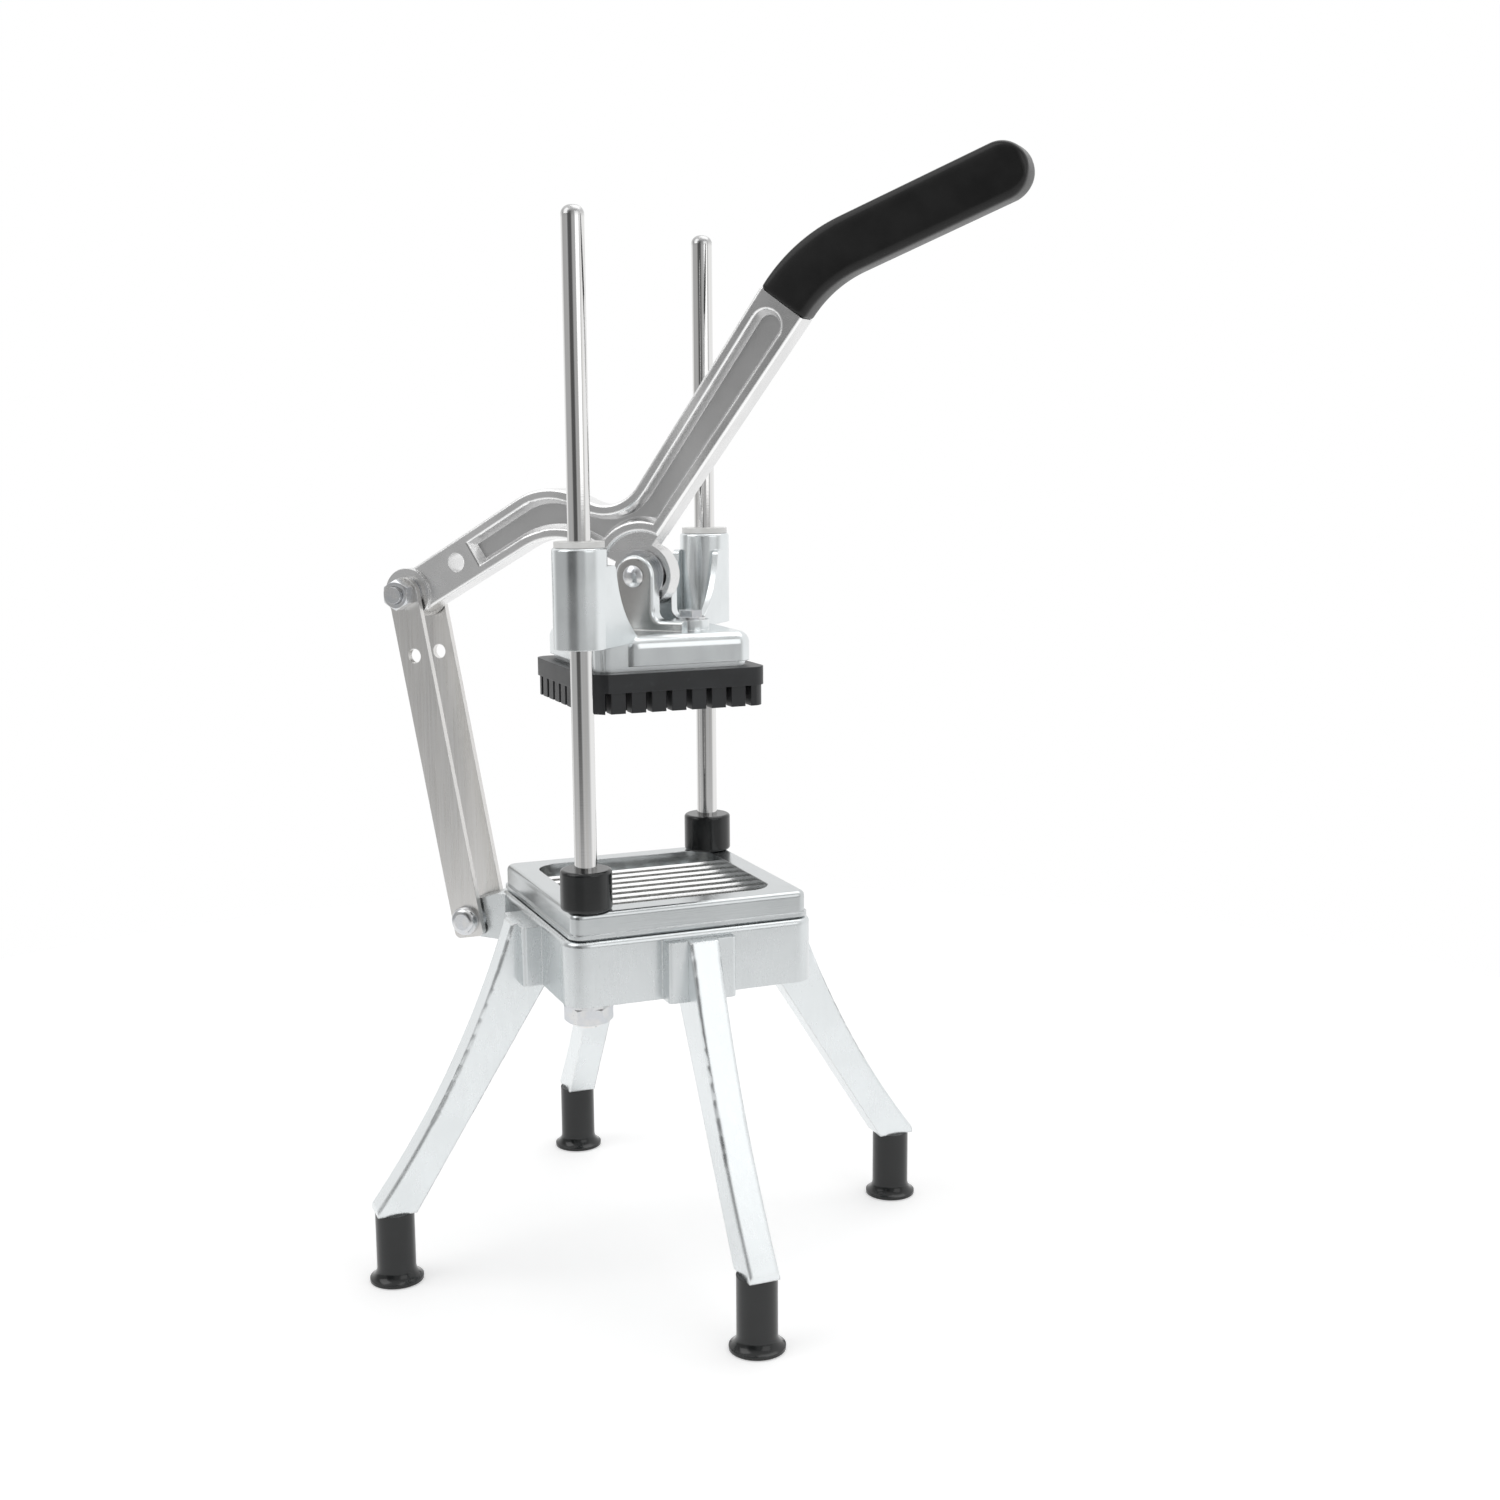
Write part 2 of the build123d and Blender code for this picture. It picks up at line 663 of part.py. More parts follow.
with BuildPart() as head_casting:
    with BuildSketch(Plane.XY.offset(pad_bottom)) as pad:
        RectangleRounded(pad_side, pad_side, pad_corner, rotation=45)
        Rectangle(2 * pad_side, 2 * pad_reach, mode=Mode.INTERSECT)
        cut_corners = pad.vertices().group_by(Axis.Y)
        fillet(cut_corners[0] + cut_corners[-1], pad_corner)
    extrude(amount=pad_depth)
    fillet(head_casting.edges().group_by(Axis.Z)[-1], pad_round)
    with BuildSketch(table.offset(block_top)):
        RectangleRounded(plate_side, plate_side, plate_corner)
    extrude(amount=plate_height)
    with BuildSketch(Plane.XY.offset(boss_bottom)):
        with Locations((0, -rod_offset), (0, rod_offset)):
            Circle(boss_dia / 2)
    extrude(amount=boss_height)
    for start in (-boss_dia / 2, boss_dia / 2 - rib_thick):
        with BuildSketch(Plane.YZ.offset(start)) as rib:
            for side in (-1, 1):
                with BuildLine():
                    Polyline(
                        (side * rib_foot, pad_top),
                        (side * rib_foot, boss_bottom),
                        (side * rod_offset, boss_bottom),
                        (side * rod_offset, rib_top),
                        (side * rib_head, rib_top),
                    )
                    SagittaArc((side * rib_head, rib_top), (side * rib_foot, pad_top), side * rib_sweep)
                make_face()
            for side in (-1, 1):
                fillet(rib.vertices().sort_by_distance((side * rib_head, rib_top))[0], rib_corner)
        extrude(amount=rib_thick)
    with BuildSketch(Plane.XY.offset(boss_bottom)):
        with Locations((0, (rib_foot + rod_offset) / 2), (0, -(rib_foot + rod_offset) / 2)):
            Rectangle(boss_dia, rod_offset - rib_foot)
    extrude(amount=pad_top - boss_bottom)
    for start in (-ear_outer, ear_inner):
        with BuildSketch(upright.offset(-start)) as ear:
            with Locations(head_pivot):
                Circle(ear_radius)
            with Locations((0, (head_pivot.Y + boss_bottom) / 2)):
                Rectangle(2 * ear_radius, head_pivot.Y - boss_bottom)
            with Locations((0, (screw_boss_top + boss_bottom) / 2)):
                Rectangle(2 * ear_flare, screw_boss_top - boss_bottom)
            ledge_corners = ear.vertices().filter_by_position(Axis.Y, screw_boss_top, screw_boss_top)
            fillet(ledge_corners.sort_by(Axis.X)[1:3], ear_flare_radius)
        extrude(amount=-ear_thick)
    with BuildSketch(Plane.XY.offset(boss_bottom)):
        with Locations((-block_screw_x, 0), (block_screw_x, 0)):
            Circle(screw_boss_dia / 2)
    extrude(amount=screw_boss_top - boss_bottom)
    with BuildSketch(Plane.XY.offset(block_top)):
        with Locations((-block_screw_x, 0), (block_screw_x, 0)):
            Circle(block_screw_dia / 2)
    extrude(amount=screw_boss_top - block_top, mode=Mode.SUBTRACT)
    with BuildSketch(Plane.XY.offset(boss_bottom)):
        with Locations((0, -rod_offset), (0, rod_offset)):
            Circle(bush_dia / 2)
    extrude(amount=boss_height, mode=Mode.SUBTRACT)
    with BuildSketch(across(head_pivot, -ear_outer)):
        Circle(pin_dia / 2)
    extrude(amount=2 * ear_outer, mode=Mode.SUBTRACT)
    for y in (-ear_outer, ear_outer):
        ear_edges = flat_face(head_casting, y).outer_wire().edges().group_by(Axis.Z)
        fillet([edge for level in ear_edges[-3:] for edge in level], ear_round)
    boss_rings = head_casting.edges().group_by(Axis.Z)[-1].filter_by(GeomType.CIRCLE)
    fillet(boss_rings.sort_by(SortBy.RADIUS)[-2:], boss_round)

head_casting.part.label = "head_casting"
export_step(head_casting.part, "parts/head_casting.step")

# Guide bushes: flanged sleeves that run on the rods
bush_flange = 2.5
bush_flange_dia = 22.0

for name, y in rod_places.items():
    with BuildPart() as guide_bush:
        with BuildSketch(Plane.XY.offset(boss_bottom)):
            with Locations((0, y)):
                Circle(bush_dia / 2)
        extrude(amount=boss_height)
        with BuildSketch(Plane.XY.offset(boss_top)):
            with Locations((0, y)):
                Circle(bush_flange_dia / 2)
        extrude(amount=bush_flange)
        with BuildSketch(Plane.XY.offset(boss_bottom)):
            with Locations((0, y)):
                Circle(rod_dia / 2 + running)
        extrude(amount=boss_height + bush_flange, mode=Mode.SUBTRACT)
    guide_bush.part.label = f"guide_bush_{name}"
    export_step(guide_bush.part, f"parts/guide_bush_{name}.step")

# Push block: a band over a grid of square teeth, its two rod corners cut back to pass the bumpers
band_height = 8.3
band_corner = 7.0
tooth_height = 9.4
tooth_slot = 2.8
tooth_setback = 0.7
block_screw_grip = 7.0
toothed_side = band_side - 2 * tooth_setback
corner_cut = rod_offset - bumper_dia / 2 - bumper_gap

with BuildPart() as push_block:
    with BuildSketch(table.offset(block_top)):
        RectangleRounded(band_side, band_side, band_corner)
    extrude(amount=-band_height)
    with BuildSketch(table.offset(block_top - band_height)):
        with GridLocations(cut, cut, cut_rows, cut_rows):
            Rectangle(cut - tooth_slot, cut - tooth_slot)
        RectangleRounded(toothed_side, toothed_side, band_corner, mode=Mode.INTERSECT)
    extrude(amount=-tooth_height)
    with BuildSketch(Plane.XY.offset(block_top)):
        with Locations((0, band_side / 2 + corner_cut), (0, -band_side / 2 - corner_cut)):
            Rectangle(band_side, band_side)
    extrude(amount=-band_height - tooth_height, mode=Mode.SUBTRACT)
    with BuildSketch(Plane.XY.offset(block_top)):
        with Locations((-block_screw_x, 0), (block_screw_x, 0)):
            Circle(block_screw_dia / 2)
    extrude(amount=-block_screw_grip, mode=Mode.SUBTRACT)

push_block.part.label = "push_block"
export_step(push_block.part, "parts/push_block.step")

# Flange-head screws that hold the push block under the head
screw_flange_dia = 13.5
screw_flange_height = 1.2
screw_hex_flats = 10.0
screw_hex_height = 3.0

with BuildPart() as block_screws:
    with BuildSketch(Plane.XY.offset(block_top - block_screw_grip)):
        with Locations((-block_screw_x, 0), (block_screw_x, 0)):
            Circle(block_screw_dia / 2)
    extrude(amount=screw_boss_top - block_top + block_screw_grip)
    with BuildSketch(Plane.XY.offset(screw_boss_top)):
        with Locations((-block_screw_x, 0), (block_screw_x, 0)):
            Circle(screw_flange_dia / 2)
    extrude(amount=screw_flange_height)
    with BuildSketch(Plane.XY.offset(screw_boss_top + screw_flange_height)):
        with Locations((-block_screw_x, 0), (block_screw_x, 0)):
            RegularPolygon(screw_hex_flats / 2, 6, major_radius=False)
    extrude(amount=screw_hex_height)

block_screws.part.label = "block_screws"
export_step(block_screws.part, "parts/block_screws.step")

# Pivot pin of the handle, with a domed head on the near side and a ring on the far end
pin_head_dia = 10.0
pin_head_height = 2.6
pin_head_round = 2.2
ring_dia = 14.0
ring_thick = 1.4
pin_tail = 1.6

with BuildPart() as handle_pin:
    with BuildSketch(across(head_pivot, -ear_outer)):
        Circle(pin_dia / 2)
    extrude(amount=2 * ear_outer + ring_thick + pin_tail)
    with BuildSketch(across(head_pivot, -ear_outer)):
        Circle(pin_head_dia / 2)
    extrude(amount=-pin_head_height)
    fillet(handle_pin.edges().group_by(Axis.Y)[0], pin_head_round)

handle_pin.part.label = "handle_pin"
export_step(handle_pin.part, "parts/handle_pin.step")

with BuildPart() as pin_ring:
    with BuildSketch(across(head_pivot, ear_outer)):
        Circle(ring_dia / 2)
        Circle(pin_dia / 2, mode=Mode.SUBTRACT)
    extrude(amount=ring_thick)

pin_ring.part.label = "pin_ring"
export_step(pin_ring.part, "parts/pin_ring.step")

# Thrust washers between the ears and the hub
with BuildPart() as thrust_washers:
    for start in (-ear_inner, ear_inner - thrust_thick):
        with BuildSketch(across(head_pivot, start)):
            Circle(thrust_dia / 2)
            Circle(pin_dia / 2, mode=Mode.SUBTRACT)
        extrude(amount=thrust_thick)

thrust_washers.part.label = "thrust_washers"
export_step(thrust_washers.part, "parts/thrust_washers.step")
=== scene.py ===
from math import cos, pi, radians, tan

import bpy
import numpy as np
from mathutils import Matrix, Vector


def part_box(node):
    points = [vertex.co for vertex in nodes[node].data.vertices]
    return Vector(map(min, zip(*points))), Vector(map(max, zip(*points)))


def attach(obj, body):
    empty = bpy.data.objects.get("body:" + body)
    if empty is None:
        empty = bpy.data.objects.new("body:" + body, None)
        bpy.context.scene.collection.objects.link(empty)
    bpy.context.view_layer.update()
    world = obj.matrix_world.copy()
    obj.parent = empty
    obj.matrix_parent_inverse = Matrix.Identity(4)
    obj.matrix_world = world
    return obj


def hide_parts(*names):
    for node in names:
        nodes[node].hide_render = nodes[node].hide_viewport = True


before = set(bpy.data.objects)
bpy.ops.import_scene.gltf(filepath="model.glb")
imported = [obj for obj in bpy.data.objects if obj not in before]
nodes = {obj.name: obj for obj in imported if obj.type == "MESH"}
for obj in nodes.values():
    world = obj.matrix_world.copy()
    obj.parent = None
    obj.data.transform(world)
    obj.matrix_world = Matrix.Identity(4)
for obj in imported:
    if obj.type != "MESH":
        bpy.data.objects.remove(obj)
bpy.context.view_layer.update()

MM = 0.001
X_AXIS = (1.0, 0.0, 0.0)
Y_AXIS = (0.0, 1.0, 0.0)
NEAR_SIDE = (0.0, -1.0, 0.0)
Z_AXIS = (0.0, 0.0, 1.0)
QUARTER_TURN = pi / 2
FULL_TURN = 2 * pi
scene = bpy.context.scene


# Shader maths

# Cosine between the rounded and the plain normal: a full edge below the first, none above the second
EDGE_COSINE = (0.75, 0.985)
EDGE_SAMPLES = 4


class Value:
    """A socket of a node tree. An expression on values adds its Math nodes."""

    def __init__(self, finish, socket):
        self.finish = finish
        self.socket = socket

    def maths(self, operation, *terms):
        return self.finish.add("ShaderNodeMath", {"operation": operation}, dict(enumerate(terms)))

    def __add__(self, other):
        return self.maths("ADD", self, other)

    def __sub__(self, other):
        return self.maths("SUBTRACT", self, other)

    def __rsub__(self, other):
        return self.maths("SUBTRACT", other, self)

    def __mul__(self, other):
        return self.maths("MULTIPLY", self, other)

    def __truediv__(self, other):
        return self.maths("DIVIDE", self, other)

    __radd__ = __add__
    __rmul__ = __mul__

    def size(self):
        return self.maths("ABSOLUTE", self)

    def root(self):
        return self.maths("SQRT", self)

    def or_larger(self, other):
        return self.maths("MAXIMUM", self, other)

    def swing(self, reach):
        """Noise about its middle, scaled to a reach from lowest to highest."""
        return (self - 0.5) * reach

    def rise(self, low, high):
        """0 below low, 1 above high, a smooth step between them."""
        span = {"Value": self, "From Min": low, "From Max": high}
        return self.finish.add("ShaderNodeMapRange", {"interpolation_type": "SMOOTHSTEP"}, span)

    def fall(self, low, high):
        """1 below low, 0 above high."""
        return 1.0 - self.rise(low, high)


class Finish:
    """A node tree that nodes are added to: a material's, or the world's."""

    def __init__(self, owner):
        owner.use_nodes = True
        self.owner = owner
        self.tree = owner.node_tree
        self.made = {}

    def add(self, kind, settings=None, inputs=None, output=0):
        """Adds a node, sets it up, gives its sockets values or links, and returns one output."""
        node = self.tree.nodes.new(kind)
        for key, value in (settings or {}).items():
            setattr(node, key, value)
        self.feed(node, inputs or {})
        return Value(self, node.outputs[output])

    def feed(self, node, inputs):
        for key, value in inputs.items():
            if isinstance(value, Value):
                self.tree.links.new(value.socket, node.inputs[key])
            else:
                node.inputs[key].default_value = value

    def source(self, kind, output):
        """An output of an input node, which is made once."""
        if (kind, output) not in self.made:
            self.made[kind, output] = self.add(kind, output=output)
        return self.made[kind, output]

    def axis(self, name, vector):
        return self.add("ShaderNodeSeparateXYZ", inputs={0: vector}, output=name)

    def place(self, name):
        """Where a point lies along an axis of the part."""
        return self.axis(name, self.source("ShaderNodeTexCoord", "Object"))

    def across(self):
        """A point's distance from the handle's plane, and 1 where its face is parallel to that plane."""
        facing = self.axis("Y", self.source("ShaderNodeTexCoord", "Normal"))
        return self.place("Y").size(), facing.size()

    def rays(self, first, *others):
        """1 for rays of the kinds named, 0 for the rest."""
        chosen = self.source("ShaderNodeLightPath", f"Is {first} Ray")
        for kind in others:
            chosen = chosen.or_larger(self.source("ShaderNodeLightPath", f"Is {kind} Ray"))
        return chosen

    def noise(self, scale, stretch=(1.0, 1.0, 1.0), detail=2.0):
        """Noise with about scale blobs to the metre, drawn out along the axes whose stretch is small."""
        place = self.source("ShaderNodeTexCoord", "Object")
        place = self.add("ShaderNodeMapping", inputs={"Vector": place, "Scale": stretch})
        return self.add("ShaderNodeTexNoise", inputs={"Vector": place, "Scale": scale, "Detail": detail})

    def brushed(self, lines, detail):
        """Noise with so many lines to the metre along each axis."""
        return self.noise(1.0, lines, detail)

    def blend(self, share, first, second):
        """First colour where share is 0, second where it is 1."""
        return self.add("ShaderNodeMix", {"data_type": "RGBA"}, {0: share, 6: first, 7: second}, output=2)

    def soft_edges(self, radius):
        """The normal with edges rounded to a radius, and a mask of those edges."""
        rounded = self.add("ShaderNodeBevel", {"samples": EDGE_SAMPLES}, {"Radius": radius})
        plain = self.source("ShaderNodeNewGeometry", "Normal")
        same = self.add("ShaderNodeVectorMath", {"operation": "DOT_PRODUCT"}, {0: rounded, 1: plain}, "Value")
        return rounded, same.fall(*EDGE_COSINE)

    def relief(self, height, distance, normal=None):
        """The normal with bumps: a height of 1 stands out by the distance."""
        inputs = {"Height": height, "Distance": distance, "Strength": 1.0}
        if normal is not None:
            inputs["Normal"] = normal
        return self.add("ShaderNodeBump", inputs=inputs)


def new_finish(name):
    return Finish(bpy.data.materials.new(name))


def settle(finish, **sockets):
    """Gives the shader its sockets, by their names with _ for a space, and returns the material."""
    shader = finish.tree.nodes["Principled BSDF"]
    finish.feed(shader, {key.replace("_", " "): value for key, value in sockets.items()})
    return finish.owner


def metal(finish, colour, roughness, normal):
    return settle(finish, Base_Color=colour, Metallic=1.0, Roughness=roughness, Normal=normal)


def grey(level, tint=(1.0, 1.0, 1.0)):
    return (level * tint[0], level * tint[1], level * tint[2], 1.0)


# Finishes

COOL = (0.962, 1.0, 1.012)
WARM = (1.015, 1.0, 0.975)
CLOUDS = (0.3, 0.7)
CAST_RELIEF = 0.02 * MM
FINE_RELIEF = 0.006 * MM

# Ears: how squarely their outer faces look sideways, and the distances from the handle's plane around them,
# which bound the painted shade on those faces
EAR_FACING = (0.85, 0.97)
EAR_START = (13.6 * MM, 14.0 * MM)
EAR_END = (14.3 * MM, 14.8 * MM)

# Handle: facing of its floors and of its pockets' slopes, and the distances of floor and rim from its plane.
# The slopes carry a painted highlight.
FLOOR_FACING = (0.8, 0.95)
SLOPE_FACING = (0.2, 0.36)
POCKET_FLOOR = (2.3 * MM, 3.0 * MM)
HANDLE_RIM = (6.9 * MM, 7.1 * MM)

# Heights at which the rods' domed ends and the blades' ground edges begin
ROD_END = (474.5 * MM, 477.5 * MM)
BLADE_EDGE = (173.6 * MM, 174.6 * MM)


def cast_aluminium(name, level, rough, lines=(700.0, 700.0, 90.0), grain=1.0, swell=0.7, round_off=0.5,
                   ears=False):
    """Polished casting: cloudy colour, polishing lines, fine pits, and brighter, smoother edges.
    The outer faces of the ears are painted darker and warmer: painted shade."""
    finish = new_finish(name)
    rounded, edge = finish.soft_edges(round_off * MM)
    cloud = finish.noise(45.0, detail=3.0)
    pits = finish.noise(900.0)
    wave = finish.noise(160.0, detail=1.0)
    brushed = finish.brushed(lines, detail=3.0)
    colour = finish.blend(cloud.rise(*CLOUDS), grey(level * 0.93, COOL), grey(level, COOL))
    # Painted shade: the ears' outer faces are darkened and warmed where the ribs and boss shade them
    if ears:
        beside, facing = finish.across()
        painted_ear_shade = facing.rise(*EAR_FACING) * beside.rise(*EAR_START) * beside.fall(*EAR_END)
        colour = finish.blend(painted_ear_shade, colour, grey(0.56, WARM))
    colour = finish.blend(edge * 0.6, colour, grey(0.93))
    roughness = rough + cloud.swing(0.16) + brushed.swing(0.08) + pits.swing(0.03) - edge * 0.06
    height = brushed * (0.08 * grain) + pits * 0.03 + wave * swell
    return metal(finish, colour, roughness, finish.relief(height, CAST_RELIEF, rounded))


def handle_aluminium(name):
    """Casting with grit-blasted pocket floors between polished slopes painted brighter as a highlight, and
    bright rims along the edges.
    """
    finish = new_finish(name)
    rounded, edge = finish.soft_edges(0.5 * MM)
    beside, facing = finish.across()
    flat = facing.rise(*FLOOR_FACING)
    pocket = flat * beside.fall(*POCKET_FLOOR)
    slope_polish_and_highlight = facing.rise(*SLOPE_FACING) * (1.0 - flat) * beside.fall(*HANDLE_RIM)
    cloud = finish.noise(40.0, detail=3.0)
    grit = finish.noise(2600.0)
    brushed = finish.brushed((120.0, 900.0, 420.0), detail=3.0)
    colour = finish.blend(cloud.rise(*CLOUDS), grey(0.74), grey(0.82))
    colour = finish.blend(pocket * (0.75 + 0.25 * grit), colour, grey(0.58))
    # Painted highlight: the pockets' sloping walls are made nearly white for the bright ceiling they reflect;
    # their lower roughness is real polish. The rims along the edges are brightened too.
    colour = finish.blend(slope_polish_and_highlight * 0.8 + edge * (1.0 - slope_polish_and_highlight) * 0.5, colour, grey(0.95))
    roughness = 0.27 + cloud.swing(0.12) + brushed.swing(0.08) + pocket * 0.12 - slope_polish_and_highlight * 0.09 - edge * 0.04
    height = brushed * 0.16 + pocket * grit * 0.7
    return metal(finish, colour, roughness, finish.relief(height, CAST_RELIEF, rounded))


def polished_rod(name):
    """Ground and polished bar: faint rings round it, a few lengthwise rub marks, duller ends."""
    finish = new_finish(name)
    rings = finish.brushed((60.0, 60.0, 2600.0), detail=2.0)
    rubs = finish.brushed((1600.0, 1600.0, 9.0), detail=2.0)
    end = finish.place("Z").rise(*ROD_END)
    colour = finish.blend(rubs.rise(0.35, 0.75), grey(0.80), grey(0.74, WARM))
    colour = finish.blend(end, colour, grey(0.52))
    roughness = 0.085 + rubs.swing(0.07) + rings.swing(0.05) + end * 0.22
    return metal(finish, colour, roughness, finish.relief(rings + rubs * 0.5, 0.004 * MM))


def link_steel(name):
    """Stainless flat bar, brushed along its length, with bright sheared edges."""
    finish = new_finish(name)
    rounded, edge = finish.soft_edges(0.35 * MM)
    brushed = finish.brushed((1500.0, 1500.0, 26.0), detail=4.0)
    broad = finish.brushed((120.0, 120.0, 14.0), detail=2.0)
    colour = finish.blend(broad.rise(*CLOUDS), grey(0.66, WARM), grey(0.74, WARM))
    colour = finish.blend(brushed.rise(0.35, 0.7) * 0.35, colour, grey(0.84))
    colour = finish.blend(edge * 0.7, colour, grey(0.92))
    roughness = 0.3 + brushed.swing(0.24) + broad.swing(0.1) - edge * 0.08
    return metal(finish, colour, roughness, finish.relief(brushed, CAST_RELIEF, rounded))


def blade_steel(name):
    """Hardened strip: straw-grey body, ground bright towards the cutting edge."""
    finish = new_finish(name)
    ground = finish.place("Z").rise(*BLADE_EDGE)
    marks = finish.brushed((900.0, 900.0, 900.0), detail=3.0)
    colour = finish.blend(ground, grey(0.58, WARM), grey(0.86))
    colour = finish.blend(marks.rise(0.5, 0.8) * 0.3, colour, grey(0.4))
    roughness = 0.28 - ground * 0.1 + marks.swing(0.14)
    return metal(finish, colour, roughness, finish.relief(marks, FINE_RELIEF))


def fastener_steel(name):
    """Bright zinc plating: faint blue clouding and small dull spots."""
    finish = new_finish(name)
    rounded, edge = finish.soft_edges(0.25 * MM)
    cloud = finish.noise(180.0)
    spots = finish.noise(1200.0, detail=3.0)
    colour = finish.blend(cloud.rise(0.35, 0.65), (0.64, 0.655, 0.68, 1.0), grey(0.70))
    colour = finish.blend(edge * 0.6, colour, grey(0.88))
    roughness = 0.24 + cloud.swing(0.1) + spots.swing(0.16)
    return metal(finish, colour, roughness, finish.relief(spots, FINE_RELIEF, rounded))


def moulded_black(name, dark, worn, rough, grain, distance, coat=0.0, shine=0.5, tint=(1.0, 1.0, 1.0)):
    """Moulded rubber or plastic: fine grain, cloudy sheen, and edges rubbed a little lighter."""
    finish = new_finish(name)
    rounded, edge = finish.soft_edges(0.6 * MM)
    cloud = finish.noise(70.0, detail=3.0)
    skin = finish.noise(grain)
    dust = finish.noise(320.0, detail=4.0)
    colour = finish.blend(cloud.rise(*CLOUDS), grey(dark * 0.8, tint), grey(dark * 1.25, tint))
    colour = finish.blend(edge * 0.5 + dust.rise(0.62, 0.85) * 0.35, colour, grey(worn, tint))
    roughness = rough + cloud.swing(0.14) + skin.swing(0.12)
    normal = finish.relief(skin + cloud * 0.8, distance, rounded)
    return settle(finish, Base_Color=colour, Roughness=roughness, Normal=normal, Coat_Weight=coat,
                  Coat_Roughness=0.12, Specular_IOR_Level=shine)


def bush_plastic(name):
    """Milky slide bearing, greyed a little in clouds."""
    finish = new_finish(name)
    rounded, edge = finish.soft_edges(0.4 * MM)
    cloud = finish.noise(220.0, detail=3.0)
    colour = finish.blend(cloud.rise(0.3, 0.75), (0.90, 0.90, 0.89, 1.0), (0.82, 0.82, 0.80, 1.0))
    roughness = 0.38 + cloud.swing(0.16) - edge * 0.05
    return settle(finish, Base_Color=colour, Roughness=roughness,
                  Normal=finish.relief(cloud, CAST_RELIEF, rounded))


def each(stem, *endings):
    return [f"{stem}_{ending}" for ending in endings]


LEGS = ("grip_near", "grip_far", "link_far", "link_near")
BOTH = ("near", "far")
zinc = fastener_steel("fastener_finish")
vinyl = moulded_black("grip_finish", dark=0.011, worn=0.016, rough=0.40, grain=700.0, distance=0.02 * MM,
                      coat=0.3, shine=0.2)
finishes = {
    cast_aluminium("base_casting_finish", level=0.72, rough=0.27, grain=0.5): ["base_casting"],
    cast_aluminium("leg_finish", level=0.83, rough=0.27, lines=(420.0, 420.0, 60.0), grain=0.4, swell=0.3,
                   round_off=1.6): each("leg", *LEGS),
    cast_aluminium("frame_finish", level=0.62, rough=0.22, lines=(55.0, 55.0, 1900.0), grain=4.0):
        ["blade_frame"],
    cast_aluminium("head_finish", level=0.82, rough=0.23, lines=(300.0, 300.0, 60.0), ears=True):
        ["head_casting"],
    handle_aluminium("handle_finish"): ["handle_arm"],
    polished_rod("rod_finish"): each("guide_rod", *BOTH),
    link_steel("link_finish"): each("link_bar", *BOTH),
    blade_steel("blade_finish"): each("blades", "upper", "lower"),
    bush_plastic("bush_finish"): each("guide_bush", *BOTH),
    moulded_black("rubber_finish", dark=0.010, worn=0.025, rough=0.17, grain=1400.0, distance=0.006 * MM,
                  tint=(0.9, 1.02, 1.06)): each("foot", *LEGS) + each("bumper", *BOTH),
    moulded_black("block_finish", dark=0.014, worn=0.05, rough=0.40, grain=1800.0, distance=0.04 * MM,
                  tint=(0.9, 1.0, 1.12)): ["push_block"],
    zinc: each("base_pivot", "bolt", "spacers") + each("link_pivot", "bolt", "spacers")
        + ["leg_screws", "rod_washers", "block_screws", "pin_ring", "thrust_washers"],
}
for material, names in finishes.items():
    for name in names:
        nodes[name].data.materials.clear()
        nodes[name].data.materials.append(material)


# Surfaces

def shell(points, ring=False, start=False, end=False):
    """Corners and faces of a grid of points, rows by columns. Columns close on themselves, rows too if
    ring is set. An open end is closed by a fan to the middle of its row."""
    rows, columns = points.shape[:2]
    index = np.arange(rows * columns).reshape(rows, columns)
    beside = np.roll(index, -1, axis=1)
    if ring:
        lower, upper = index, np.roll(index, -1, axis=0)
        lower_beside, upper_beside = beside, np.roll(beside, -1, axis=0)
    else:
        lower, upper, lower_beside, upper_beside = index[:-1], index[1:], beside[:-1], beside[1:]
    faces = np.stack([lower, lower_beside, upper_beside, upper], axis=-1).reshape(-1, 4).tolist()
    corners = points.reshape(-1, 3)
    for closed, row, turn in ((start, 0, -1), (end, -1, 1)):
        if closed:
            middle = np.full(columns, len(corners))
            corners = np.vstack([corners, points[row].mean(axis=0)])
            fan = np.stack([index[row], beside[row], middle], axis=-1)[:, ::turn]
            faces += fan.tolist()
    return corners, faces


def surface(name, shells, material, sharp=35.0):
    """One piece of several shells, smooth but for edges sharper than an angle in degrees."""
    corners, faces = np.empty((0, 3)), []
    for more_corners, more_faces in shells:
        faces += [[corner + len(corners) for corner in face] for face in more_faces]
        corners = np.vstack([corners, more_corners])
    mesh = bpy.data.meshes.new(name)
    mesh.from_pydata(corners.tolist(), [], faces)
    mesh.shade_smooth()
    mesh.set_sharp_from_angle(angle=radians(sharp))
    mesh.materials.append(material)
    piece = bpy.data.objects.new(name, mesh)
    scene.collection.objects.link(piece)
    return piece


def round_angles(columns):
    return np.linspace(0.0, FULL_TURN, columns, endpoint=False)


def turned(profile, columns, middle, axis, across):
    """Points round an axis, from pairs of a distance along it and a radius, which may change with the angle.
    P = middle + along * axis + radius * (cos a * across + sin a * (axis x across))."""
    along, radius = (np.stack([np.broadcast_to(term, columns) for term in terms]) for terms in zip(*profile))
    angle = round_angles(columns)
    circle = np.outer(np.cos(angle), across) + np.outer(np.sin(angle), np.cross(axis, across))
    return np.array(middle) + along[:, :, None] * np.array(axis) + radius[:, :, None] * circle


# Soft grip: a rounded-square section carried along the bent tang, with a rolled mouth and a round nose

